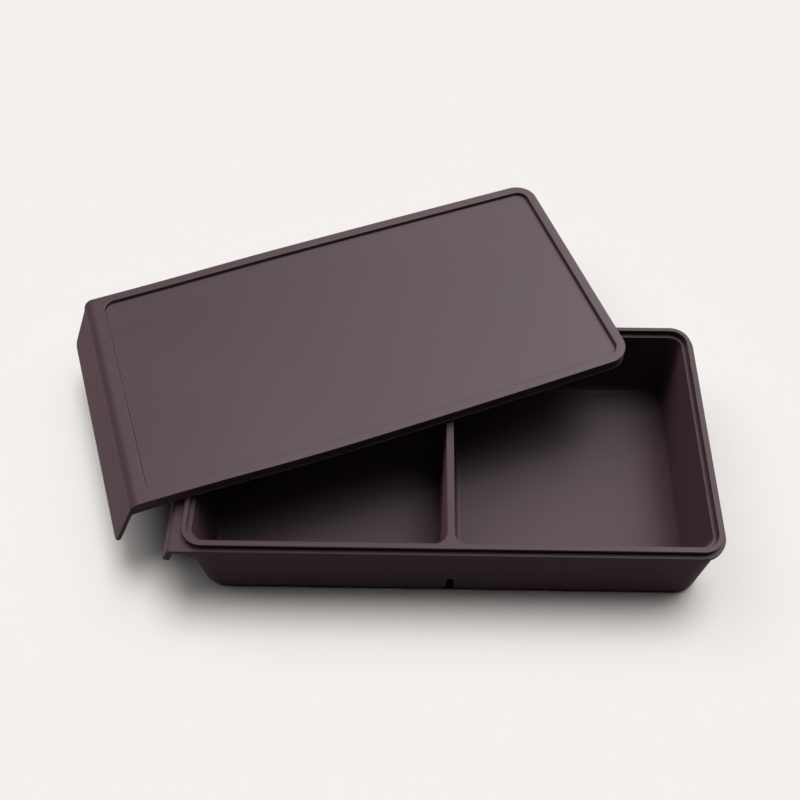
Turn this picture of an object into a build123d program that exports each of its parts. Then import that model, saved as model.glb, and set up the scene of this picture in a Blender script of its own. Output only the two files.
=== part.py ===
"""A two-tub silicone freezer tray and its loose silicone lid.

Millimetres, Z up, the tray stands on Z = 0 with its long side along X and
its pull tab at -X. The lid lies askew on the rim, turned and pushed back,
and touches it in three places. Both are moved together at the end, so that
the origin is the centre of the footprint of the two, at the base.
"""

import os
from math import atan2, cos, radians, sin, sqrt, tan

from build123d import *

# Tray: rim. The lip is the upright rib that the lid closes over.
RIM_LENGTH = 253.0  # over the lip, along X
RIM_WIDTH = 129.2  # over the lip, along Y
TRAY_HEIGHT = 52.5  # from the base to the top of the lip
LIP_WALL = 2.1
LIP_CORNER = 10.0  # outer corner radius of the lip
LIP_RISE = 3.3  # lip above the ledge inside it
LIP_ROUND = 0.4
LEDGE_WIDTH = 2.0
FLANGE_DROP = 3.5  # flange's top below the lip's top
FLANGE_REACH = 1.9  # flange beyond the lip
FLANGE_THICKNESS = 2.4

# Tray: pull tab, the flange's left end, flat and then bent down
TAB_FLAT = 4.3  # level part beyond the flange's edge
TAB_OUT = 3.8  # sloping part, measured outward
TAB_DOWN = 9.2  # and downward
TAB_BEND_ROUND = 2.0
TAB_TIP_ROUND = 1.0

# Tray: body
BODY_INSET = 0.9  # body's wall inside the flange's edge
BODY_CORNER = 14.0
BODY_DRAFT = 2.8  # degrees
BASE_ROUND = 2.0
FLOOR_THICKNESS = 3.0
DIVIDER_TOP = 3.5
TUB_DRAFT = 2.6  # degrees
TUB_CORNER = 6.0  # at the ledge
TUB_FLOOR_CORNER = 9.0  # at the floor
TUB_FLOOR_ROUND = 3.0
SLOT_WIDTH = 3.4  # the gap under the divider, from front to back
SLOT_HEIGHT = 16.0
SLOT_FLARE = 1.2

# Lid: plate, raised border and skirt
LID_OVERHANG = 3.1  # beyond the lip at the front, right and back
LID_CORNER = 11.5  # right-hand corners
BORDER_WIDTH = 4.9
TAB_BORDER_WIDTH = 9.3  # border beside the pull tab, its shoulder included
PANEL_CORNER = 6.0
PANEL_SLOPE = 0.6  # how far the border's inner face leans in
RECESS_DEPTH = 2.0
PLATE_THICKNESS = 1.8
SKIRT_DEPTH = 6.9  # from the border's top to the skirt's foot
SKIRT_CLEARANCE = 0.4  # between the skirt and the lip
RIB_CLEARANCE = 0.3  # between the lip and the rib inside it
RIB_WALL = 1.4
RIB_DEPTH = 2.2
LID_EDGE_ROUND = 0.5  # border's outer edge

# Lid: pull tab. A round shoulder, a steep drop, then an easier slope
SHOULDER_OUT = 3.6  # from the lip to the outermost part of the shoulder
SHOULDER_ROUND = 4.3
STEEP_ANGLE = 74.0  # degrees below level
STEEP_LENGTH = 7.5  # from the border's top to the bend
BEND_ROUND = 18.0
LID_TAB_OUT = 17.2  # from the lip to the foot
LID_TAB_DOWN = 28.7
LID_TAB_THICKNESS = 2.2
TAB_SKIRT_WALL = 2.0  # the skirt's wall at its foot, behind the tab
LID_TAB_TAPER = 2.5  # each end draws in by this at the foot
LID_TAB_ROUND = 3.8

# Lid: how it lies on the rim
LID_X = -51.4
LID_Y = 58.5
LID_YAW = 20.45  # degrees
REST_GAP = 0.05

TOLERANCE = 0.01
ROUND_SHARE = 0.45  # the most of a wall's thickness that one round takes
RUN_SHARE = 0.9  # the most of a straight run that a round takes
SEAT_STEPS = 4  # rounds of working out the lid's tilt

HALF_LENGTH = RIM_LENGTH / 2
HALF_WIDTH = RIM_WIDTH / 2
LEDGE_Z = TRAY_HEIGHT - LIP_RISE
FLANGE_Z = TRAY_HEIGHT - FLANGE_DROP
LID_RIGHT = HALF_LENGTH + LID_OVERHANG
LID_LEFT = -HALF_LENGTH - SHOULDER_OUT
BLOCK_LEFT = LID_LEFT + SHOULDER_ROUND
LID_HALF_WIDTH = HALF_WIDTH + LID_OVERHANG
CEILING_DEPTH = RECESS_DEPTH + PLATE_THICKNESS


def rounded(length, width, radius, x=0.0, y=0.0, z=0.0):
    """A level rectangle with rounded corners."""
    limit = min(length, width) / 2 - TOLERANCE
    return Location((x, y, z)) * RectangleRounded(length, width, min(radius, limit))


def ruled(lower, upper):
    """A solid with straight walls between two level outlines."""
    return loft([lower.face(), upper.face()], ruled=True)


def body():
    """The outer block under the rim, narrower at the base."""
    drawn_in = FLANGE_Z * tan(radians(BODY_DRAFT))
    length = RIM_LENGTH + 2 * (FLANGE_REACH - BODY_INSET)
    width = RIM_WIDTH + 2 * (FLANGE_REACH - BODY_INSET)
    top = rounded(length, width, BODY_CORNER, z=FLANGE_Z)
    foot = rounded(length - 2 * drawn_in, width - 2 * drawn_in, BODY_CORNER)
    block = ruled(foot, top)
    return fillet(block.edges().group_by(Axis.Z)[0], BASE_ROUND)


def flange():
    length = RIM_LENGTH + 2 * FLANGE_REACH
    width = RIM_WIDTH + 2 * FLANGE_REACH
    outline = rounded(
        length, width, LIP_CORNER + FLANGE_REACH, z=FLANGE_Z - FLANGE_THICKNESS
    )
    return extrude(outline, FLANGE_THICKNESS)


def tray_tab():
    """The flange's left end: level as far as the bend, then down."""
    slope = sqrt(TAB_OUT**2 + TAB_DOWN**2)
    inward = FLANGE_THICKNESS * TAB_DOWN / slope
    downward = FLANGE_THICKNESS * TAB_OUT / slope
    bend_x = -HALF_LENGTH - FLANGE_REACH - TAB_FLAT
    tip = (bend_x - TAB_OUT, FLANGE_Z - TAB_DOWN)
    low_tip = (tip[0] + inward, tip[1] - downward)
    under = (FLANGE_THICKNESS - downward) / TAB_DOWN * TAB_OUT
    inner_bend = (bend_x + inward - under, FLANGE_Z - FLANGE_THICKNESS)
    root_x = -HALF_LENGTH + LIP_CORNER + FLANGE_REACH
    points = [
        (root_x, FLANGE_Z),
        (bend_x, FLANGE_Z),
        tip,
        low_tip,
        inner_bend,
        (root_x, FLANGE_Z - FLANGE_THICKNESS),
    ]
    profile = make_face(Polyline(*points, close=True))
    tips = profile.vertices().sort_by(Axis.Y)[:2]
    profile = fillet(tips, min(TAB_TIP_ROUND, FLANGE_THICKNESS * ROUND_SHARE))
    bend = profile.vertices().sort_by_distance((bend_x, FLANGE_Z, 0))[:1]
    profile = fillet(bend, min(TAB_BEND_ROUND, slope * RUN_SHARE))
    half = HALF_WIDTH + FLANGE_REACH
    return extrude(Plane.XZ.offset(-half) * profile, 2 * half)


def tub(side):
    """The hollow of one tub; side is -1 for the left and 1 for the right."""
    reach = HALF_LENGTH - LIP_WALL - LEDGE_WIDTH
    length = reach - DIVIDER_TOP / 2
    width = 2 * (HALF_WIDTH - LIP_WALL - LEDGE_WIDTH)
    x = side * (DIVIDER_TOP / 2 + length / 2)
    drawn_in = (LEDGE_Z - FLOOR_THICKNESS) * tan(radians(TUB_DRAFT))
    mouth = rounded(length, width, TUB_CORNER, x=x, z=LEDGE_Z)
    floor = rounded(
        length - 2 * drawn_in,
        width - 2 * drawn_in,
        TUB_FLOOR_CORNER,
        x=x,
        z=FLOOR_THICKNESS,
    )
    hollow = ruled(floor, mouth)
    return fillet(hollow.edges().group_by(Axis.Z)[0], TUB_FLOOR_ROUND)


def slot():
    """The gap under the divider, round at its top and flared at its foot."""
    upright = Pos(0, SLOT_HEIGHT / 2) * Rectangle(SLOT_WIDTH, SLOT_HEIGHT)
    crown = upright.vertices().sort_by(Axis.Y)[-2:]
    upright = fillet(crown, SLOT_WIDTH * ROUND_SHARE)
    below = Pos(0, -SLOT_FLARE) * Rectangle(
        SLOT_WIDTH + 6 * SLOT_FLARE, 2 * SLOT_FLARE
    )
    profile = upright + below
    mouth = [
        v
        for v in profile.vertices()
        if abs(v.Y) < TOLERANCE and abs(v.X) < SLOT_WIDTH / 2 + TOLERANCE
    ]
    profile = fillet(mouth, SLOT_FLARE)
    half = HALF_WIDTH + FLANGE_REACH
    return extrude(Plane.XZ.offset(-half) * profile, 2 * half)


def tray():
    lip = extrude(
        rounded(RIM_LENGTH, RIM_WIDTH, LIP_CORNER, z=FLANGE_Z), FLANGE_DROP
    )
    pocket = extrude(
        rounded(
            RIM_LENGTH - 2 * LIP_WALL,
            RIM_WIDTH - 2 * LIP_WALL,
            LIP_CORNER - LIP_WALL,
            z=LEDGE_Z,
        ),
        LIP_RISE,
    )
    rim = lip - pocket
    rim = fillet(rim.edges().group_by(Axis.Z)[-1], LIP_ROUND)
    whole = body() + flange() + tray_tab() + rim
    return whole - tub(-1) - tub(1) - slot()


def lid_block():
    """The plate and its skirt, from the shoulder to the right-hand corners."""
    plan = Rectangle(LID_RIGHT - BLOCK_LEFT, 2 * LID_HALF_WIDTH)
    plan = Location(((LID_RIGHT + BLOCK_LEFT) / 2, 0, -SKIRT_DEPTH)) * plan
    plan = fillet(plan.vertices().sort_by(Axis.X)[-2:], LID_CORNER)
    block = extrude(plan, SKIRT_DEPTH)
    rim = block.edges().group_by(Axis.Z)[-1].sort_by(Axis.X)[1:]
    return fillet(rim, LID_EDGE_ROUND)


def panel():
    """The hollow in the lid's top, inside the raised border."""
    left = LID_LEFT + TAB_BORDER_WIDTH
    right = LID_RIGHT - BORDER_WIDTH
    length = right - left
    width = 2 * LID_HALF_WIDTH - 2 * BORDER_WIDTH
    x = (left + right) / 2
    mouth = rounded(length, width, PANEL_CORNER, x=x)
    floor = rounded(
        length - 2 * PANEL_SLOPE,
        width - 2 * PANEL_SLOPE,
        PANEL_CORNER - PANEL_SLOPE,
        x=x,
        z=-RECESS_DEPTH,
    )
    return ruled(floor, mouth)


def under_hollow():
    """The space inside the skirt that takes the tray's lip."""
    return extrude(
        rounded(
            RIM_LENGTH + 2 * SKIRT_CLEARANCE,
            RIM_WIDTH + 2 * SKIRT_CLEARANCE,
            LIP_CORNER + SKIRT_CLEARANCE,
            z=-SKIRT_DEPTH,
        ),
        SKIRT_DEPTH - CEILING_DEPTH,
    )


def rib():
    """The sealing rib that stands just inside the lip when closed."""
    inset = LIP_WALL + RIB_CLEARANCE
    outer = rounded(
        RIM_LENGTH - 2 * inset,
        RIM_WIDTH - 2 * inset,
        LIP_CORNER - inset,
        z=-CEILING_DEPTH - RIB_DEPTH,
    )
    inset += RIB_WALL
    inner = rounded(
        RIM_LENGTH - 2 * inset,
        RIM_WIDTH - 2 * inset,
        LIP_CORNER - inset,
        z=-CEILING_DEPTH - RIB_DEPTH,
    )
    return extrude(outer - inner, RIB_DEPTH)


def tab_profile():
    """The shoulder and the pull tab from the side, as a closed face."""
    steep = Vector(-cos(radians(STEEP_ANGLE)), -sin(radians(STEEP_ANGLE)))
    shoulder = CenterArc((BLOCK_LEFT, -SHOULDER_ROUND), SHOULDER_ROUND, 90, STEEP_ANGLE)
    tangent = SHOULDER_ROUND * tan(radians(STEEP_ANGLE / 2))
    bend = Vector(BLOCK_LEFT - tangent, 0) + steep * STEEP_LENGTH
    foot = Vector(-HALF_LENGTH - LID_TAB_OUT, -LID_TAB_DOWN)
    easy = (foot - bend).normalized()
    through = Vector(-easy.Y, easy.X) * LID_TAB_THICKNESS
    skirt_x = -HALF_LENGTH - SKIRT_CLEARANCE - TAB_SKIRT_WALL
    points = [
        shoulder @ 1,
        bend,
        foot,
        foot + through,
        Vector(skirt_x, -SKIRT_DEPTH),
        Vector(BLOCK_LEFT, -SKIRT_DEPTH),
        shoulder @ 0,
    ]
    profile = make_face(shoulder + Polyline(*points))
    lower = profile.vertices().sort_by_distance((bend.X, bend.Y, 0))[:1]
    turn = radians(STEEP_ANGLE) - atan2(-easy.Y, -easy.X)
    limit = RUN_SHARE * (STEEP_LENGTH - tangent) / tan(turn / 2)
    return fillet(lower, min(BEND_ROUND, limit))


def lid_tab():
    """The shoulder and tab, drawn in at both ends and round at the foot."""
    length = 2 * LID_HALF_WIDTH
    sheet = extrude(Plane.XZ.offset(-LID_HALF_WIDTH) * tab_profile(), length)
    drop = LID_TAB_DOWN + LID_TAB_THICKNESS
    foot = LID_HALF_WIDTH - LID_TAB_TAPER
    points = [
        (-LID_HALF_WIDTH, 0),
        (LID_HALF_WIDTH, 0),
        (LID_HALF_WIDTH, -SKIRT_DEPTH),
        (foot, -drop),
        (-foot, -drop),
        (-LID_HALF_WIDTH, -SKIRT_DEPTH),
    ]
    outline = make_face(Polyline(*points, close=True))
    outline = fillet(outline.vertices().sort_by(Axis.Y)[:2], LID_TAB_ROUND)
    reach = LID_TAB_OUT + HALF_LENGTH
    return sheet & extrude(Plane.YZ.offset(-2 * reach) * outline, 2 * reach)


def lid():
    """The lid in its own place, the border's top at Z = 0."""
    shell = lid_block() + lid_tab() - panel() - under_hollow()
    return shell + rib()


def crossing(point, direction, axis, value):
    """Where a level line meets X = value (axis 0) or Y = value (axis 1)."""
    start, step = (point.X, direction.X) if axis == 0 else (point.Y, direction.Y)
    return point + direction * ((value - start) / step)


def lid_seat():
    """The plane of the border's top, from the lid's three touching points.

    The skirt's foot lies on the lip at the left and at the back, and the
    plate's underside on the lip's back left corner.
    """
    along = Vector(cos(radians(LID_YAW)), sin(radians(LID_YAW)), 0)
    across = Vector(-along.Y, along.X, 0)
    centre = Vector(LID_X, LID_Y, 0)
    front = centre - across * (HALF_WIDTH + SKIRT_CLEARANCE)
    right = centre + along * (HALF_LENGTH + SKIRT_CLEARANCE)
    first = crossing(front, along, 0, -HALF_LENGTH)
    second = crossing(right, across, 1, HALF_WIDTH)
    lift = TRAY_HEIGHT + REST_GAP
    fall = Vector(0, 1, 0)
    for _ in range(SEAT_STEPS):
        third = Vector(-HALF_LENGTH, HALF_WIDTH, 0) + Vector(1, -1, 0) * LIP_CORNER
        third += fall * LIP_CORNER
        a = first + Vector(0, 0, lift + SKIRT_DEPTH)
        b = second + Vector(0, 0, lift + SKIRT_DEPTH)
        c = third + Vector(0, 0, lift + CEILING_DEPTH)
        normal = (b - a).cross(c - a).normalized()
        fall = Vector(normal.X, normal.Y, 0).normalized()
    height = a.Z - (normal.X * (LID_X - a.X) + normal.Y * (LID_Y - a.Y)) / normal.Z
    sideways = along - normal * along.dot(normal)
    return Plane(origin=(LID_X, LID_Y, height), x_dir=sideways, z_dir=normal)


os.makedirs("parts", exist_ok=True)

tray_solid = tray()
lid_solid = lid_seat().location * lid()

footprint = Compound([tray_solid, lid_solid]).bounding_box().center()
to_origin = Pos(-footprint.X, -footprint.Y, 0)
for node, shape in {"tray": tray_solid, "lid": lid_solid}.items():
    placed = to_origin * shape
    print(node, placed.bounding_box(), round(placed.volume))
    export_step(placed, f"parts/{node}.step")
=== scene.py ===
# %% [markdown]
# # A silicone freezer tray and its loose lid
# Two soft mouldings make up this object: a tray with two deep tubs, and a
# lid that lies askew on its rim. Each is moulded in one piece from matte
# silicone, so every edge is a little round and no surface is truly sharp.
# The lesson grows each moulding from level rings of edges. Every ring is
# extruded from the last one, and the bevel operator rounds the edges.
#
# They give each moulding its place, and the mouldings made here are shown
# instead of them.

# %% Load the frame
from math import acos, atan2, cos, degrees, pi, radians, sin, sqrt, tan

import bmesh
import bpy
from mathutils import Matrix, Vector


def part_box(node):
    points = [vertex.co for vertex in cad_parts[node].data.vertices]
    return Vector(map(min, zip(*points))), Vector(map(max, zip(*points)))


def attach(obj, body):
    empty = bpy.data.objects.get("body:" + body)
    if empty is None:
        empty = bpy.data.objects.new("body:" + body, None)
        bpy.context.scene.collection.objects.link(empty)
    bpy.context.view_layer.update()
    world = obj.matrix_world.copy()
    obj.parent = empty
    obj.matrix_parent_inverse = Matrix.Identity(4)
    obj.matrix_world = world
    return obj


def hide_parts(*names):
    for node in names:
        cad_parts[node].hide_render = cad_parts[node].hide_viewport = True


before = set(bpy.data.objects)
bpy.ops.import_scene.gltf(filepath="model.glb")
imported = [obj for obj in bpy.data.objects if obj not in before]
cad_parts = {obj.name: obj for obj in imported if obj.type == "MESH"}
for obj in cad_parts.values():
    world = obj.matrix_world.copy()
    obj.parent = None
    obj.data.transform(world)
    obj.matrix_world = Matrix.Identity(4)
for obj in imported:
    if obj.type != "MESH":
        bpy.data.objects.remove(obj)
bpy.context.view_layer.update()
tray_low, tray_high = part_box("tray")

# %% [markdown]
# ## Units
# Blender works in metres here, but the sizes of a moulding are easier to
# read in millimetres. So each piece is drawn in millimetres about its own
# middle, and one matrix then shrinks it to metres and sets it in its place.

# %% Millimetres to metres
MM = 0.001


def place(bm, matrix):
    """Turns a piece drawn in millimetres into metres, in its place."""
    bmesh.ops.transform(bm, matrix=matrix @ Matrix.Scale(MM, 4), verts=bm.verts)


print("one millimetre in metres:", MM)

# %% [markdown]
# ## Camera
# The camera looks down from the front at about 57 degrees, a little turned
# and rolled. A lens of 45 mm on a 36 mm sensor is 1002 pixels of focal
# length in an 800 pixel frame.

# %% Camera
IMAGE_SIDE, FOCAL_PIXELS = 800, 1002.1
SENSOR_WIDTH = 36.0  # mm
CAMERA_AT = (0.02250, -0.30865, 0.47726)
CAMERA_DOWN = 56.891  # degrees below the horizon
CAMERA_TURN = 1.633  # degrees to the left
CAMERA_ROLL = -0.654  # degrees about the line of sight
NEAREST, FARTHEST = 0.01, 20.0  # metres


def make_camera():
    """The scene's camera, turned and rolled into its place."""
    data = bpy.data.cameras.new("camera")
    data.sensor_width = SENSOR_WIDTH
    data.lens = FOCAL_PIXELS / IMAGE_SIDE * data.sensor_width
    data.clip_start, data.clip_end = NEAREST, FARTHEST
    camera = bpy.data.objects.new("camera", data)
    bpy.context.scene.collection.objects.link(camera)
    camera.matrix_world = (
        Matrix.Translation(CAMERA_AT)
        @ Matrix.Rotation(radians(CAMERA_TURN), 4, "Z")
        @ Matrix.Rotation(radians(90 - CAMERA_DOWN), 4, "X")
        @ Matrix.Rotation(radians(CAMERA_ROLL), 4, "Z")
    )
    bpy.context.scene.camera = camera
    return camera


camera = make_camera()
print("lens in mm:", round(camera.data.lens, 2))

# %% [markdown]
# ## Rings
# A rounded rectangle is the section of every wall here. It starts as a
# circle from the circle operator, and each quarter of the circle is pushed
# out to its own corner. The next ring is extruded from the last one and
# pushed to its own corners in the same way, so the walls between them are
# clean quads that never twist.

# %% Rings
CORNER_STEPS = 12


def shape_ring(verts, left, right, half_width, z, left_round, right_round):
    """Moves a ring's vertices, in their order, on to a rounded rectangle."""
    for i, v in enumerate(verts):
        corner, step = divmod(i, CORNER_STEPS + 1)
        turn = radians(90) * (corner + step / CORNER_STEPS)
        on_right = corner in (0, 3)
        radius = right_round if on_right else left_round
        x = right - radius if on_right else left + radius
        y = (half_width - radius) * (1 if corner < 2 else -1)
        v.co = (x + radius * cos(turn), y + radius * sin(turn), z)
    return verts


def first_ring(bm, *section):
    """A ring of its own, as a list of vertices in order."""
    segments = 4 * (CORNER_STEPS + 1)
    made = bmesh.ops.create_circle(bm, cap_ends=False, segments=segments, radius=1)
    verts = sorted(made["verts"], key=lambda v: atan2(v.co.y, v.co.x) % (2 * pi))
    return shape_ring(verts, *section)


def loop(bm, verts):
    """The closed loop of edges through a ring's vertices."""
    return [bm.edges.get((a, b)) for a, b in zip(verts, verts[1:] + verts[:1])]


def next_ring(bm, verts, *section):
    """Extrudes a ring and shapes the new one; returns its vertices."""
    made = set(bmesh.ops.extrude_edge_only(bm, edges=loop(bm, verts))["geom"])
    grown = []
    for v in verts:
        ends = [e.other_vert(v) for e in v.link_edges]
        grown.append(next(end for end in ends if end in made))
    return shape_ring(grown, *section)


print("vertices in a ring:", 4 * (CORNER_STEPS + 1))

# %% [markdown]
# ## Rounded edges
# The bevel operator rounds edges. A wide round gets more steps than a fine
# one, so that all of them look smooth. Most edges that need a round are
# found by the angle at which their two faces meet.

# %% Rounded edges
WIDE_STEPS, MIDDLE_STEPS, FINE_STEPS = 6, 4, 3


def round_edges(bm, edges, radius, steps):
    """Rounds edges with the bevel operator."""
    bmesh.ops.bevel(
        bm,
        geom=edges,
        offset=radius,
        offset_type="OFFSET",
        segments=steps,
        profile=0.5,
        affect="EDGES",
        material=-1,
        clamp_overlap=True,
    )


def sharp_edges(bm, degrees_over=30):
    """The edges that still turn by more than an angle."""
    limit = radians(degrees_over)
    return [e for e in bm.edges if len(e.link_faces) == 2 and e.calc_face_angle(0) > limit]


print("steps of a wide, a middle and a fine round:", WIDE_STEPS, MIDDLE_STEPS, FINE_STEPS)

# %% [markdown]
# ## The tray's sizes
# These are the sizes of the moulding, in millimetres. The tray stands on
# Z = 0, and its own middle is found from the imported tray's box: its right
# edge is the flange, which stands out by the same amount all round.

# %% Tray sizes
RIM_LENGTH, RIM_WIDTH, TRAY_HEIGHT = 253.0, 129.2, 52.5
LIP_WALL, LIP_CORNER, LIP_RISE = 2.1, 10.0, 3.3
LEDGE_WIDTH = 2.0
FLANGE_DROP, FLANGE_REACH, FLANGE_THICKNESS = 3.5, 1.9, 2.4
TAB_FLAT, TAB_OUT, TAB_DOWN, TAB_CORNER = 4.3, 3.8, 9.2, 1.0
TAB_BEND_ROUND, TAB_BEND_STEPS = 2.0, 3
BODY_INSET, BODY_CORNER, BODY_DRAWN_IN, BODY_LEAN = 0.9, 12.0, 2.4, 0.6
BASE_ROUND, FLOOR_THICKNESS, DIVIDER_TOP = 3.5, 3.0, 3.5
TUB_CORNER, TUB_FLOOR_CORNER = 6.0, 13.0
TUB_DRAWN_IN, TUB_FLOOR_ROUND = 2.1, 3.0
SLOT_WIDTH, SLOT_HEIGHT, SLOT_FLARE = 3.4, 16.0, 1.3
GROOVE_DEPTH, GROOVE_HEIGHT = 0.8, 2.3
SMALL_ROUND = 0.5
# Distances below which two places count as one, from coarse to fine.
NEAR, VERY_NEAR, HAIR = 0.01, 0.001, 0.0001

HALF_LENGTH, HALF_WIDTH = RIM_LENGTH / 2, RIM_WIDTH / 2
LEDGE_Z = TRAY_HEIGHT - LIP_RISE
FLANGE_Z = TRAY_HEIGHT - FLANGE_DROP
GROOVE_TOP = FLANGE_Z + GROOVE_HEIGHT
TAB_BEND = -HALF_LENGTH - FLANGE_REACH - TAB_FLAT
TRAY_CENTRE = Vector(
    (
        tray_high.x - (HALF_LENGTH + FLANGE_REACH) * MM,
        (tray_low.y + tray_high.y) / 2,
        0,
    )
)
print("tray's middle in mm:", [round(1000 * x, 2) for x in TRAY_CENTRE])

# %% [markdown]
# ## The tray's outside
# Rings run from the base up the wall, out under the flange, over its edge
# and in to the foot of the lip. There they dip into a shallow groove, which
# draws the dark line that parts the lip from the flange. The flange's left
# end has small corners and is longer than the rest, because the tab grows from
# it: its upper and lower skins end where the tab's bend begins, off the
# fold by the tangent of half the turn. Each wall is drawn in towards the
# base, and the base is a little off centre, as the foot of a soft tray is.

# %% Tray: outer wall and flange
TAB_HALF_TURN = tan(atan2(TAB_DOWN, TAB_OUT) / 2)
TAB_OUTER = Vector((TAB_BEND + TAB_BEND_ROUND * TAB_HALF_TURN, 0, FLANGE_Z))
TAB_INNER = Vector((TAB_BEND + FLANGE_THICKNESS * TAB_HALF_TURN, 0, FLANGE_Z - FLANGE_THICKNESS))


def outer_skin(bm):
    """The outside from the base to the foot of the lip; returns that ring."""
    reach = FLANGE_REACH - BODY_INSET
    x, y = HALF_LENGTH + reach, HALF_WIDTH + reach
    foot_x, foot_y = x - BODY_DRAWN_IN, y - BODY_DRAWN_IN
    under = FLANGE_Z - FLANGE_THICKNESS
    left, right = BODY_LEAN - foot_x, BODY_LEAN + foot_x
    foot = first_ring(bm, left, right, foot_y, 0, BODY_CORNER, BODY_CORNER)
    drawn_in = BODY_DRAWN_IN * FLANGE_THICKNESS / FLANGE_Z
    neck_x, neck_y = x - drawn_in, y - drawn_in
    neck = next_ring(bm, foot, -neck_x, neck_x, neck_y, under, BODY_CORNER, BODY_CORNER)
    x, y, corner = HALF_LENGTH + FLANGE_REACH, HALF_WIDTH + FLANGE_REACH, LIP_CORNER + FLANGE_REACH
    low = next_ring(bm, neck, TAB_INNER.x, x, y, under, TAB_CORNER, corner)
    high = next_ring(bm, low, TAB_OUTER.x, x, y, FLANGE_Z, TAB_CORNER, corner)
    x, y = HALF_LENGTH, HALF_WIDTH
    deep_x, deep_y, corner = x - GROOVE_DEPTH, y - GROOVE_DEPTH, LIP_CORNER - GROOVE_DEPTH
    groove = next_ring(bm, high, -deep_x, deep_x, deep_y, FLANGE_Z, corner, corner)
    groove = next_ring(bm, groove, -deep_x, deep_x, deep_y, GROOVE_TOP, corner, corner)
    lip_foot = next_ring(bm, groove, -x, x, y, GROOVE_TOP, LIP_CORNER, LIP_CORNER)
    bmesh.ops.contextual_create(bm, geom=loop(bm, foot))
    return lip_foot


base_length = RIM_LENGTH + 2 * (FLANGE_REACH - BODY_INSET - BODY_DRAWN_IN)
print("length of the tray's base in mm:", round(base_length, 1))

# %% [markdown]
# ## The tray's pull tab
# A short tab grows from the flange's left end, so that fingers can peel the
# tray off what is frozen in it. The flange's straight end face is extruded
# over a round bend in a few steps, and then once more, straight down it.

# %% Tray: pull tab
def tab_sections():
    """Upper and lower corners of the pull tab's sections, over the bend and down."""
    turn = atan2(TAB_DOWN, TAB_OUT)
    down = Vector((-cos(turn), 0, -sin(turn)))
    through = Vector((sin(turn), 0, -cos(turn))) * FLANGE_THICKNESS
    centre = TAB_OUTER - Vector((0, 0, TAB_BEND_ROUND))
    sections = []
    for i in range(1, TAB_BEND_STEPS + 1):
        part = i / TAB_BEND_STEPS
        spoke = Vector((-sin(turn * part), 0, cos(turn * part)))
        sections.append((centre + spoke * TAB_BEND_ROUND, TAB_INNER + down * part))
    foot = Vector((TAB_BEND - TAB_OUT, 0, FLANGE_Z - TAB_DOWN))
    return sections + [(foot, foot + through)]


def pull_tab(bm):
    """Draws the flange's left edge out and down."""
    middle = FLANGE_Z - FLANGE_THICKNESS / 2
    end = [
        f
        for f in bm.faces
        if abs(f.calc_center_median().z - middle) < NEAR
        and f.calc_center_median().x < TAB_INNER.x + TAB_CORNER
        and abs(f.calc_center_median().y) < HALF_WIDTH + FLANGE_REACH - VERY_NEAR
    ]
    outer, inner = TAB_OUTER, TAB_INNER
    for next_outer, next_inner in tab_sections():
        made = bmesh.ops.extrude_face_region(bm, geom=end)["geom"]
        bmesh.ops.delete(bm, geom=end, context="FACES")
        verts = [g for g in made if isinstance(g, bmesh.types.BMVert)]
        for v in verts:
            v.co += next_outer - outer if abs(v.co.z - outer.z) < NEAR else next_inner - inner
        outer, inner = next_outer, next_inner
        end = [g for g in made if isinstance(g, bmesh.types.BMFace)]


print("sections of the tray's pull tab:", len(tab_sections()))

# %% [markdown]
# ## The slot under the divider
# The two tubs hang apart near the base, with a narrow slot between them.
# Two cuts with the bisect operator mark its sides and a third its top; the
# skin between them is deleted, and its walls and roof are filled in. The
# slot's crown is nearly a half circle, and its foot flares softly.

# %% Tray: slot
X, Z = 0, 2  # which of a vertex's coordinates these are
SLOT_SIDES = (BODY_LEAN - SLOT_WIDTH / 2, BODY_LEAN + SLOT_WIDTH / 2)
CROWN_SHARE = 0.45


def lie_at(verts, axis, level):
    """Whether vertices all lie at one level of an axis."""
    return all(abs(v.co[axis] - level) < NEAR for v in verts)


def cut(bm, faces, at, normal):
    """Adds edges where a plane crosses some faces; returns all the faces."""
    near = set(bm.faces) - set(faces)
    geom = {x for f in faces for x in (f, *f.edges, *f.verts)}
    bmesh.ops.bisect_plane(bm, geom=list(geom), dist=HAIR, plane_co=at, plane_no=normal)
    return [f for f in bm.faces if f not in near]


def open_slot(bm):
    """Cuts the slot's skin out of the tray's outside."""
    left, right = SLOT_SIDES
    under = FLANGE_Z - FLANGE_THICKNESS - NEAR
    lower = [f for f in bm.faces if f.calc_center_median().z < under]
    for side in SLOT_SIDES:
        lower = cut(bm, lower, (side, 0, 0), (1, 0, 0))
    cut(bm, lower, (0, 0, SLOT_HEIGHT), (0, 0, 1))
    skin = [
        f
        for f in bm.faces
        if left < f.calc_center_median().x < right and f.calc_center_median().z < SLOT_HEIGHT
    ]
    bmesh.ops.delete(bm, geom=skin, context="FACES")


def close_slot(bm):
    """Fills the slot's walls and roof; returns the edges between them."""
    left, right = SLOT_SIDES
    for side in SLOT_SIDES:
        ends = [v for v in bm.verts if lie_at([v], X, side) and lie_at([v], Z, SLOT_HEIGHT)]
        bmesh.ops.contextual_create(bm, geom=ends)
    rim = [e for e in bm.edges if e.is_boundary or e.is_wire]
    for side in SLOT_SIDES:
        wall = [e for e in rim if lie_at(e.verts, X, side)]
        bmesh.ops.contextual_create(bm, geom=wall)
    roof = [
        e
        for e in rim
        if lie_at(e.verts, Z, SLOT_HEIGHT)
        and all(left - NEAR < v.co.x < right + NEAR for v in e.verts)
    ]
    bmesh.ops.contextual_create(bm, geom=roof)
    return [e for e in roof if lie_at(e.verts, X, e.verts[0].co.x)]


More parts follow.
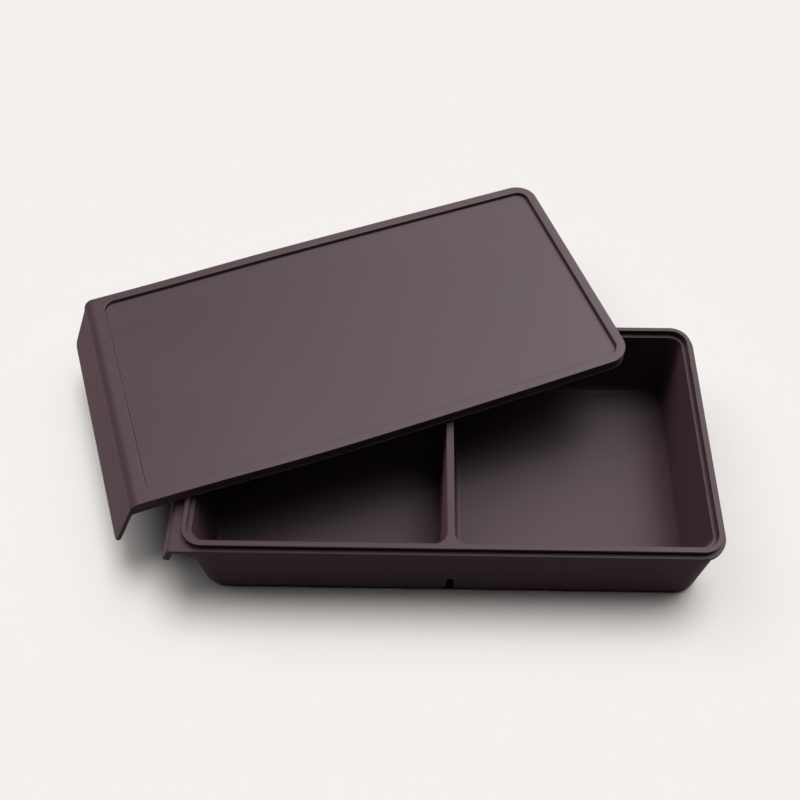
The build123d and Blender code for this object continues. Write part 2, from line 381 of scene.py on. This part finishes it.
def round_slot(bm, crown):
    """Rounds the slot's crown and flares its foot."""
    left, right = SLOT_SIDES
    round_edges(bm, crown, SLOT_WIDTH * CROWN_SHARE, MIDDLE_STEPS)
    foot = [
        e
        for e in sharp_edges(bm)
        if all(
            min(abs(v.co.x - left), abs(v.co.x - right)) < NEAR and v.co.z < BASE_ROUND + NEAR
            for v in e.verts
        )
    ]
    round_edges(bm, foot, SLOT_FLARE, MIDDLE_STEPS)


print("round of the slot's crown in mm:", round(SLOT_WIDTH * CROWN_SHARE, 2))

# %% [markdown]
# ## The lip, the ledge and the tubs
# The lip is an upright rib, and the ledge lies inside it. Each tub opens
# from the ledge. A narrow collar is laid round each mouth first, so that
# the mouth's edge has clean quads on both sides when it is rounded. The
# rest of the ledge is one flat region with two holes, which the triangle
# fill operator covers.

# %% Tray: inside
COLLAR = 0.7


def tub(bm, side):
    """One tub from its collar to its floor; returns the collar's edges."""
    near, far = DIVIDER_TOP / 2, HALF_LENGTH - LIP_WALL - LEDGE_WIDTH
    left, right = (near, far) if side > 0 else (-far, -near)
    y = HALF_WIDTH - LIP_WALL - LEDGE_WIDTH
    corner = TUB_CORNER + COLLAR
    collar = first_ring(bm, left - COLLAR, right + COLLAR, y + COLLAR, LEDGE_Z, corner, corner)
    mouth = next_ring(bm, collar, left, right, y, LEDGE_Z, TUB_CORNER, TUB_CORNER)
    left, right, y = left + TUB_DRAWN_IN, right - TUB_DRAWN_IN, y - TUB_DRAWN_IN
    corner = TUB_FLOOR_CORNER
    floor = next_ring(bm, mouth, left, right, y, FLOOR_THICKNESS, corner, corner)
    bmesh.ops.contextual_create(bm, geom=loop(bm, floor))
    edges = loop(bm, collar)
    round_edges(bm, loop(bm, floor), TUB_FLOOR_ROUND, WIDE_STEPS)
    return edges


def inner_skin(bm, lip_foot):
    """The lip, the ledge and both tubs, from the foot of the lip inward."""
    x, y, corner = HALF_LENGTH, HALF_WIDTH, LIP_CORNER
    outer_top = next_ring(bm, lip_foot, -x, x, y, TRAY_HEIGHT, corner, corner)
    x, y, corner = x - LIP_WALL, y - LIP_WALL, corner - LIP_WALL
    inner_top = next_ring(bm, outer_top, -x, x, y, TRAY_HEIGHT, corner, corner)
    inner_foot = next_ring(bm, inner_top, -x, x, y, LEDGE_Z, corner, corner)
    x, y, corner = x - COLLAR, y - COLLAR, corner - COLLAR
    ledge = next_ring(bm, inner_foot, -x, x, y, LEDGE_Z, corner, corner)
    mouths = tub(bm, -1) + tub(bm, 1)
    edges = loop(bm, ledge) + mouths
    bmesh.ops.triangle_fill(bm, use_beauty=True, edges=edges, normal=(0, 0, 1))


print("length of a tub's mouth in mm:", HALF_LENGTH - LIP_WALL - LEDGE_WIDTH - DIVIDER_TOP / 2)

# %% [markdown]
# ## Assembling the tray
# The base is rounded before the slot is cut, so that the slot's walls meet
# a finished curve. Every edge that is still sharp then gets one small
# round, which is what a silicone mould leaves. Only the groove's roof stays
# sharp, so that its line stays dark.

# %% Tray: the whole moulding
MERGE_DISTANCE = 0.005


def finish_piece(name, bm, matrix, body, node):
    """Makes an object of a drawn piece and ties it to its body."""
    bmesh.ops.remove_doubles(bm, verts=bm.verts, dist=MERGE_DISTANCE)
    bmesh.ops.recalc_face_normals(bm, faces=bm.faces)
    place(bm, matrix)
    for f in bm.faces:
        f.smooth = True
    mesh = bpy.data.meshes.new(name)
    bm.to_mesh(mesh)
    open_edges = sum(1 for e in bm.edges if len(e.link_faces) != 2)
    print(name, "faces:", len(bm.faces), "open edges:", open_edges)
    print(name, "volume in cm3:", round(bm.calc_volume(signed=True) * 1e6, 1))
    bm.free()
    piece = bpy.data.objects.new(name, mesh)
    bpy.context.scene.collection.objects.link(piece)
    piece.modifiers.new("weighted normals", "WEIGHTED_NORMAL")
    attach(piece, body)
    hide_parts(node)
    return piece


def make_tray():
    """The whole tray, rounded and tied to its body."""
    bm = bmesh.new()
    lip_foot = outer_skin(bm)
    pull_tab(bm)
    base = [e for e in bm.edges if lie_at(e.verts, Z, 0)]
    round_edges(bm, base, BASE_ROUND, WIDE_STEPS)
    open_slot(bm)
    crown = close_slot(bm)
    round_slot(bm, crown)
    inner_skin(bm, lip_foot)
    sharp = [e for e in sharp_edges(bm) if not lie_at(e.verts, Z, GROOVE_TOP)]
    round_edges(bm, sharp, SMALL_ROUND, FINE_STEPS)
    return finish_piece(
        "tray_moulding", bm, Matrix.Translation(TRAY_CENTRE), "tray", "tray"
    )


tray = make_tray()

# %% [markdown]
# ## The lid's sizes and its place
# The lid is drawn straight and level, with its border's top at Z = 0. It
# doesn't lie level, because one corner has dropped inside the tray's lip.
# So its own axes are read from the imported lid: its largest upward facet
# gives the tilt, and its known turn gives the direction of its length.

# %% Lid sizes and place
LID_RIGHT, LID_LEFT, LID_HALF = 129.6, -128.4, 67.7
LID_CORNER, LID_TAB_CORNER = 11.5, 0.6
LID_EDGE_ROUND, SHOULDER_ROUND, SHOULDER_OUT = 0.5, 5.6, 2.8
SHOULDER_TURN = 64.0  # degrees
BORDER, TAB_BORDER = 4.9, 7.6
PANEL_CORNER, PANEL_SLOPE, RECESS = 6.0, 0.5, 2.0
SKIRT_DEPTH, SKIRT_CLEARANCE, CEILING = 6.9, 0.4, 3.8
RIB_CLEARANCE, RIB_WALL, RIB_DEPTH = 0.3, 1.4, 2.2
BEAD_REACH, BEAD_HEIGHT = 0.45, 0.9
BEAD_TOP = SKIRT_DEPTH - BEAD_HEIGHT
LID_YAW = 20.45  # degrees
UPWARD = 0.9  # a normal with more Z than this looks up


def lid_place():
    """The matrix from the lid's own place to where it lies, in metres."""
    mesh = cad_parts["lid"].data
    upward = [f for f in mesh.polygons if f.normal.z > UPWARD]
    up = max(upward, key=lambda f: f.area).normal.copy()
    along = Vector((cos(radians(LID_YAW)), sin(radians(LID_YAW)), 0))
    along = (along - up * along.dot(up)).normalized()
    across = up.cross(along)
    spots = [v.co for v in mesh.vertices]
    right = max(spot.dot(along) for spot in spots) - LID_RIGHT * MM
    sides = [spot.dot(across) for spot in spots]
    top = max(spot.dot(up) for spot in spots)
    middle = along * right + across * (min(sides) + max(sides)) / 2 + up * top
    turned = Matrix((along, across, up)).transposed().to_4x4()
    print("lid's tilt in degrees:", round(degrees(up.angle((0, 0, 1))), 2))
    return Matrix.Translation(middle) @ turned


LID_PLACE = lid_place()

# %% [markdown]
# ## The lid's outlines
# Every ring of the lid follows one of three outlines: the lid's own side,
# the tray's rim that it closes over, or the sunken panel. The side has a
# fine round at the top and leans in towards its foot. On the tab's side a
# much wider shoulder takes the place of the fine round.

# %% Lid: outlines
EDGE_STEPS = 4


def drawn_in(radius, drop):
    """How far a rounded edge lies inside its side, at a depth below its top."""
    left = max(0, radius - drop)
    return radius - sqrt(radius**2 - left**2)


def lid_side(drop, bulge=0):
    """The lid's own outline at a depth; its upper edge is wider at the tab."""
    inset = drawn_in(LID_EDGE_ROUND, drop) + BEAD_REACH * min(1, drop / BEAD_TOP) - bulge
    left = LID_LEFT - SHOULDER_OUT + drawn_in(SHOULDER_ROUND, drop) - bulge
    x, y = LID_RIGHT - inset, LID_HALF - inset
    return left, x, y, -drop, LID_TAB_CORNER, LID_CORNER - inset


def shoulder_drops():
    """Depths of the rings down the upper edge, evenly spaced along its curve."""
    fine = [LID_EDGE_ROUND * (1 - cos(pi / 2 * i / EDGE_STEPS)) for i in range(EDGE_STEPS + 1)]
    start = acos(1 - LID_EDGE_ROUND / SHOULDER_ROUND)
    rest = radians(SHOULDER_TURN) - start
    turns = [start + rest * i / EDGE_STEPS for i in range(1, EDGE_STEPS + 1)]
    return fine + [SHOULDER_ROUND * (1 - cos(turn)) for turn in turns]


def rim_line(inset, z):
    """The tray's rim as it sits under the closed lid."""
    x, y = HALF_LENGTH - inset, HALF_WIDTH - inset
    return -x, x, y, z, LIP_CORNER - inset, LIP_CORNER - inset


def panel_line(inset, z):
    """The sunken panel's outline; the border is wider on the tab's side."""
    left = LID_LEFT + TAB_BORDER + inset
    right = LID_RIGHT - BORDER - inset
    corner = PANEL_CORNER - inset
    return left, right, LID_HALF - BORDER - inset, z, corner, corner


print("depths down the lid's upper edge:", [round(drop, 2) for drop in shoulder_drops()])

# %% [markdown]
# ## The lid's plate and skirt
# One chain of rings makes the whole lid: from the sunken panel out over the
# border, down the side, round a fine bead at the foot, up inside the skirt
# and over the sealing rib to the underside. The bead catches a thin line of
# light along the dark side, which shows where the soft edge ends.

# %% Lid: the chain of rings
BEAD_STEPS = 6
FINE_ROUND = 0.3


def lid_shell(bm):
    """The lid without its tab."""
    panel = first_ring(bm, *panel_line(PANEL_SLOPE, -RECESS))
    mouth = next_ring(bm, panel, *panel_line(0, 0))
    ring = mouth
    for drop in shoulder_drops():
        ring = next_ring(bm, ring, *lid_side(drop))
    ring = next_ring(bm, ring, *lid_side(BEAD_TOP))
    for i in range(1, BEAD_STEPS + 1):
        turn = pi * i / BEAD_STEPS
        drop = BEAD_HEIGHT * (1 - cos(turn)) / 2
        ring = next_ring(bm, ring, *lid_side(BEAD_TOP + drop, BEAD_REACH * sin(turn)))
    foot = next_ring(bm, ring, *rim_line(-SKIRT_CLEARANCE, -SKIRT_DEPTH))
    ring = next_ring(bm, foot, *rim_line(-SKIRT_CLEARANCE, -CEILING))
    inset = LIP_WALL + RIB_CLEARANCE
    ring = next_ring(bm, ring, *rim_line(inset, -CEILING))
    rib = next_ring(bm, ring, *rim_line(inset, -CEILING - RIB_DEPTH))
    inset += RIB_WALL
    inner_rib = next_ring(bm, rib, *rim_line(inset, -CEILING - RIB_DEPTH))
    ceiling = next_ring(bm, inner_rib, *rim_line(inset, -CEILING))
    bmesh.ops.contextual_create(bm, geom=loop(bm, panel))
    bmesh.ops.contextual_create(bm, geom=loop(bm, ceiling))
    fine = [e for ring in (panel, mouth, foot, rib, inner_rib) for e in loop(bm, ring)]
    round_edges(bm, fine, FINE_ROUND, FINE_STEPS)


print("lid's outer size in mm:", LID_RIGHT - LID_LEFT, "x", 2 * LID_HALF)

# %% [markdown]
# ## The lid's pull tab
# The tab grows from the straight part of the left side. It leaves the side
# steeply and eases outward, which makes the soft crease below the border.
# The extrude operator repeats along that curve, and each new section is
# moved to its place. Its foot corners are rounded in plan, and its edges
# get a full round, as on any tab that fingers pull.

# %% Lid: pull tab
TAB_LENGTH, TAB_THICKNESS = 29.6, 2.2
TAB_STEEP, TAB_EASY = 66.0, 63.3  # degrees
TAB_BEND_START, TAB_BEND_END = 2.0, 6.5
BEND_STEPS = 8
TAB_HALF_ROOT, TAB_HALF_FOOT, TAB_FOOT_CORNER = 67.2, 65.2, 3.8
TAB_EDGE_ROUND = 0.95
PAST_ROOT = 0.1


def tab_angle(run):
    """The tab's slope below level, in radians, after a run along it."""
    part = (run - TAB_BEND_START) / (TAB_BEND_END - TAB_BEND_START)
    part = min(1, max(0, part))
    part = part * part * (3 - 2 * part)
    return radians(TAB_STEEP + (TAB_EASY - TAB_STEEP) * part)


def lid_tab_sections(start):
    """Upper and lower corners and half the width of each section down the tab."""
    outer = Vector((lid_side(start)[0], 0, -start))
    root_inner = Vector((lid_side(BEAD_TOP)[0], 0, -BEAD_TOP))
    runs = [TAB_BEND_END * i / BEND_STEPS for i in range(1, BEND_STEPS + 1)] + [TAB_LENGTH]
    sections, last_run = [], 0
    for run in runs:
        angle = tab_angle((run + last_run) / 2)
        outer = outer + Vector((-cos(angle), 0, -sin(angle))) * (run - last_run)
        through = Vector((sin(angle), 0, -cos(angle))) * TAB_THICKNESS
        join = min(1, run / TAB_BEND_END)
        inner = (outer + through) * join + root_inner * (1 - join)
        half = TAB_HALF_ROOT + (TAB_HALF_FOOT - TAB_HALF_ROOT) * run / TAB_LENGTH
        sections.append((outer, inner, half))
        last_run = run
    return sections


def lid_tab(bm):
    """Grows the tab from the left side and rounds its foot corners."""
    start = shoulder_drops()[-1]
    middle = -(start + BEAD_TOP) / 2
    wall = [f for f in bm.faces if abs(f.calc_center_median().z - middle) < NEAR]
    end = [min(wall, key=lambda f: f.calc_center_median().x)]
    for outer, inner, half in lid_tab_sections(start):
        made = bmesh.ops.extrude_face_region(bm, geom=end)["geom"]
        bmesh.ops.delete(bm, geom=end, context="FACES_ONLY")
        verts = [g for g in made if isinstance(g, bmesh.types.BMVert)]
        heights = [v.co.z for v in verts]
        low = (min(heights) + max(heights)) / 2
        for v in verts:
            spot = outer if v.co.z > low else inner
            v.co = (spot.x, half if v.co.y > 0 else -half, spot.z)
        end = [g for g in made if isinstance(g, bmesh.types.BMFace)]
    corners = [e for f in end for e in f.edges if abs(e.verts[0].co.y - e.verts[1].co.y) < NEAR]
    round_edges(bm, corners, TAB_FOOT_CORNER, WIDE_STEPS)


def tab_edges(bm):
    """The edges all round the tab's outline, past its first section."""
    past = LID_LEFT - SHOULDER_OUT - PAST_ROOT
    return [e for e in sharp_edges(bm, degrees_over=45) if all(v.co.x < past for v in e.verts)]


tab_foot = lid_tab_sections(shoulder_drops()[-1])[-1][0]
print("lid tab's reach and depth in mm:", round(LID_LEFT - tab_foot.x, 1), round(-tab_foot.z, 1))

# %% [markdown]
# ## The lid's sag
# Soft silicone hangs through where nothing holds it. The lid rests on the
# tray's rim at its ends and its rear, so its front edge sags most, near the
# middle, and the rear edge arches up a little. The bisect operator first
# cuts the lid every few millimetres, so that its flat faces can bend, and
# then every vertex is moved. The sag eases out towards the tab and ends
# more abruptly at the other end. The front half is also pulled in slightly,
# as a sheet is when it sags, and the tab hangs lower at its front corner.

# %% Lid: sag
SAG_GRID = 12.0
# Where along the lid the sag is deepest, and how far it reaches either way.
SAG_MIDDLE, SAG_LEFT, SAG_RIGHT = -18.0, 90.0, 148.0
# How deep it is on the lid's centre line, how much more at the front edge,
# and how far that edge is pulled in.
SAG_DEPTH, SAG_TILT, SAG_PULL = 0.8, 1.8, 0.5
# How much further the front edge is pulled in near the tab, and from where.
END_PULL, END_START = 0.8, -60.0
# How far the tab's front corner slides down, and over what reach it begins.
TAB_SKEW, TAB_REACH = 1.2, 15.0


def sag(bm):
    """Bends the lid between the places it rests on, and skews its tab."""
    up_the_tab = Vector((cos(radians(TAB_EASY)), 0, sin(radians(TAB_EASY))))
    for axis, reach in ((Vector((1, 0, 0)), LID_RIGHT), (Vector((0, 1, 0)), LID_HALF)):
        steps = int(reach / SAG_GRID)
        for i in range(-steps, steps + 1):
            geom = bm.verts[:] + bm.edges[:] + bm.faces[:]
            at = axis * i * SAG_GRID
            bmesh.ops.bisect_plane(bm, geom=geom, dist=VERY_NEAR, plane_co=at, plane_no=axis)
    for v in bm.verts:
        along = v.co.x - SAG_MIDDLE
        part = min(1, -along / SAG_LEFT if along < 0 else along / SAG_RIGHT)
        hang = cos(pi / 2 * part) ** (2 if along < 0 else 1)
        side = v.co.y / LID_HALF
        end = min(1, max(0, (END_START - v.co.x) / (END_START - LID_LEFT)))
        tab = min(1, max(0, (LID_LEFT - v.co.x) / TAB_REACH))
        v.co.z += hang * (SAG_TILT * side - SAG_DEPTH)
        v.co.y += (SAG_PULL + END_PULL * end * (1 - tab)) * max(0, -side)
        v.co += TAB_SKEW * side * tab * up_the_tab


print("deepest sag at the front edge in mm:", SAG_TILT + SAG_DEPTH)

# %% [markdown]
# ## Assembling the lid
# The tab's edges are rounded while the lid is still straight, because they
# are found by their angle and their place. The sag comes last, so that it
# bends plate, skirt, rib and tab as one, as it does in a soft moulding.

# %% Lid: the whole moulding
def make_lid():
    """The whole lid, rounded, bent and tied to its body."""
    bm = bmesh.new()
    lid_shell(bm)
    lid_tab(bm)
    round_edges(bm, tab_edges(bm), TAB_EDGE_ROUND, MIDDLE_STEPS)
    sag(bm)
    return finish_piece("lid_moulding", bm, LID_PLACE, "lid", "lid")


lid = make_lid()

# %% [markdown]
# ## Colours and nodes
# A colour is chosen on a screen as sRGB, while Blender counts light in
# linear values, so one function turns the first into the second. Another
# adds any node with its settings and links, which keeps a material short.

# %% Colours and nodes
def linear(hex_colour):
    """An sRGB colour such as "#5a4d51" as linear red, green, blue and one."""
    parts = [int(hex_colour[i : i + 2], 16) / 255 for i in (1, 3, 5)]
    return [c / 12.92 if c <= 0.04045 else ((c + 0.055) / 1.055) ** 2.4 for c in parts] + [1]


def add(tree, kind, settings=(), inputs=(), links=()):
    """Adds a node, sets it up, and links other nodes' outputs to it."""
    node = tree.nodes.new(kind)
    for name, value in dict(settings).items():
        setattr(node, name, value)
    for name, value in dict(inputs).items():
        node.inputs[name].default_value = value
    for name, output in dict(links).items():
        tree.links.new(output, node.inputs[name])
    return node


print("mid grey in linear light:", [round(c, 3) for c in linear("#808080")])

# %% [markdown]
# ## Silicone
# Food grade silicone rubber is cast in a mould whose walls are blasted with
# grit. The rubber copies that fine, even grain, so it has no bright
# reflections: light spreads on it into a broad, silky sheen. Its pigment is
# mixed all through, so the colour only varies a little over a hand's width,
# and its walls are never quite flat, which a second, wide and shallow bump
# draws. Silicone also wears a faint, dusty bloom. The shader's Sheen layer
# stands for it: it lightens a wall only where one looks along it, and turns
# that place a little pink.
#
# The noise textures read Object coordinates, which are metres here, so each
# pattern keeps its real size. The real grain of about 0.05 mm is too fine
# to show, so it is drawn at 0.35 mm.

# %% Silicone material
# The size in mm and the detail of each noise pattern.
CLOUD, GRAIN, SWELL = (60, 3), (0.35, 2), (35, 1)
NOISE_RANGE = {"From Min": 0.3, "From Max": 0.7}  # most of a noise texture lies here
SWELL_BUMP = {"Strength": 0.5, "Distance": 0.2 * MM}
GRAIN_BUMP = {"Strength": 0.25, "Distance": 0.03 * MM}
ROUGHNESS_RANGE = {"To Min": 0.52, "To Max": 0.6}
SILICONE_IOR = 1.41
BLOOM, BLOOM_ROUGHNESS, BLOOM_COLOUR = 0.06, 0.5, "#dfa5b8"
# Each moulding's darkest and lightest pigment, and its gloss. The lid
# shines a little more than the tray.
TRAY_SILICONE = ("#271d21", "#2a1f22", 0.025)
LID_SILICONE = ("#261d20", "#291e21", 0.05)


def silicone(name, dark, light, gloss):
    """Pigmented silicone from a grit-blasted mould."""
    material = bpy.data.materials.new(name)
    material.use_nodes = True
    tree = material.node_tree
    tree.nodes.clear()
    spot = add(tree, "ShaderNodeTexCoord").outputs["Object"]
    patterns = []
    for size, detail in (CLOUD, GRAIN, SWELL):
        settings = {"Scale": 1 / (size * MM), "Detail": detail}
        noise = add(tree, "ShaderNodeTexNoise", inputs=settings, links={"Vector": spot})
        patterns.append(noise.outputs["Fac"])
    cloud, grain, swell = patterns
    shade = add(tree, "ShaderNodeMapRange", inputs=NOISE_RANGE, links={"Value": cloud})
    colour = add(
        tree,
        "ShaderNodeMix",
        settings={"data_type": "RGBA"},
        links={"Factor": shade.outputs["Result"]},
    )
    colour.inputs[6].default_value = linear(dark)
    colour.inputs[7].default_value = linear(light)
    wavy = add(tree, "ShaderNodeBump", inputs=SWELL_BUMP, links={"Height": swell})
    bump = add(
        tree,
        "ShaderNodeBump",
        inputs=GRAIN_BUMP,
        links={"Height": grain, "Normal": wavy.outputs["Normal"]},
    )
    roughness = add(
        tree,
        "ShaderNodeMapRange",
        inputs=NOISE_RANGE | ROUGHNESS_RANGE,
        links={"Value": grain},
    )
    shader = add(
        tree,
        "ShaderNodeBsdfPrincipled",
        inputs={
            "IOR": SILICONE_IOR,
            "Specular IOR Level": gloss,
            "Sheen Weight": BLOOM,
            "Sheen Roughness": BLOOM_ROUGHNESS,
            "Sheen Tint": linear(BLOOM_COLOUR),
        },
        links={
            "Base Color": colour.outputs[2],
            "Roughness": roughness.outputs["Result"],
            "Normal": bump.outputs["Normal"],
        },
    )
    add(tree, "ShaderNodeOutputMaterial", links={"Surface": shader.outputs["BSDF"]})
    return material


tray.data.materials.append(silicone("moulded silicone, tray", *TRAY_SILICONE))
lid.data.materials.append(silicone("moulded silicone, lid", *LID_SILICONE))
print("materials:", [m.name for m in bpy.data.materials])

# %% [markdown]
# ## Floor
# The floor is a plain sheet of pale, uncoated paper. Such paper has no
# gloss at all, so a diffuse shader is enough, and nothing but the shadow
# shows where the tray stands.

# %% Floor
FLOOR_REACH = 3.0  # metres
PAPER_COLOUR = "#e3dfdc"


def make_floor():
    """A large sheet of paper under the tray, kept out of the part itself."""
    bm = bmesh.new()
    bmesh.ops.create_grid(bm, x_segments=1, y_segments=1, size=FLOOR_REACH)
    mesh = bpy.data.meshes.new("floor")
    bm.to_mesh(mesh)
    bm.free()
    floor = bpy.data.objects.new("floor", mesh)
    bpy.context.scene.collection.objects.link(floor)
    material = bpy.data.materials.new("uncoated paper")
    material.use_nodes = True
    tree = material.node_tree
    tree.nodes.clear()
    paper = add(tree, "ShaderNodeBsdfDiffuse", inputs={"Color": linear(PAPER_COLOUR)})
    add(tree, "ShaderNodeOutputMaterial", links={"Surface": paper.outputs["BSDF"]})
    mesh.materials.append(material)
    return floor


floor = make_floor()
print("floor's side in metres:", round(floor.dimensions.x, 2))

# %% [markdown]
# ## Light
# All the light is soft, and most of it comes from behind and from the
# sides, so the walls that face the viewer stay dark. Light linking does
# what black flags do in a studio: three lamps reach only the floor and draw
# the pale shadow in front, and the others reach only the silicone. Its
# matte lamps bring out the pigment and give no highlight of their own; a
# weak one in front keeps the darkest walls from going black. Its two sheen
# lamps give the silky highlights and nothing else. The pale backdrop is
# seen by the camera alone, so it lights nothing.

# %% Light
SHEEN_TINT = (1.0, 0.9, 0.93)
BACKDROP_COLOUR = "#f3efec"
# Each lamp's name, its height, turn and spread in degrees, and its power.
FLOOR_LAMPS = (
    ("key on the floor", 75, 28, 32, 2.16),
    ("right fill on the floor", 60, 60, 50, 0.74),
    ("left fill on the floor", 60, -60, 50, 1.15),
)
MATTE_LAMPS = (
    ("back softbox", 60, 0, 50, 8.1),
    ("right softbox", 60, 60, 50, 1.9),
    ("left softbox", 40, -70, 50, 1.7),
    ("front fill", 46, 180, 40, 0.35),
)
SHEEN_LAMPS = (
    ("right sheen", 70, 60, 30, 38),
    ("low right sheen", 45, 45, 40, 26),
)


def make_sun(lit, name, height, turn, spread, power):
    """A soft sun on some objects; turn 0 comes from behind and 90 from the right."""
    data = bpy.data.lights.new(name, "SUN")
    data.energy = power
    data.angle = radians(spread)
    sun = bpy.data.objects.new(name, data)
    bpy.context.scene.collection.objects.link(sun)
    round_up = Matrix.Rotation(radians(180 - turn), 4, "Z")
    sun.matrix_world = round_up @ Matrix.Rotation(radians(90 - height), 4, "X")
    receivers = bpy.data.collections.new(name)
    for thing in lit:
        receivers.objects.link(thing)
    sun.light_linking.receiver_collection = receivers
    return sun


for lamp in FLOOR_LAMPS:
    make_sun([floor], *lamp)
for lamp in MATTE_LAMPS:
    make_sun([tray, lid], *lamp).visible_glossy = False
for lamp in SHEEN_LAMPS:
    sheen = make_sun([tray, lid], *lamp)
    sheen.visible_diffuse = False
    sheen.data.color = SHEEN_TINT
world = bpy.data.worlds.new("pale backdrop")
world.color = linear(BACKDROP_COLOUR)[:3]
bpy.context.scene.world = world
world.cycles_visibility.diffuse = False
world.cycles_visibility.glossy = False
bpy.context.scene.view_settings.view_transform = "Standard"
print("lamps:", [lamp.name for lamp in bpy.data.lights])
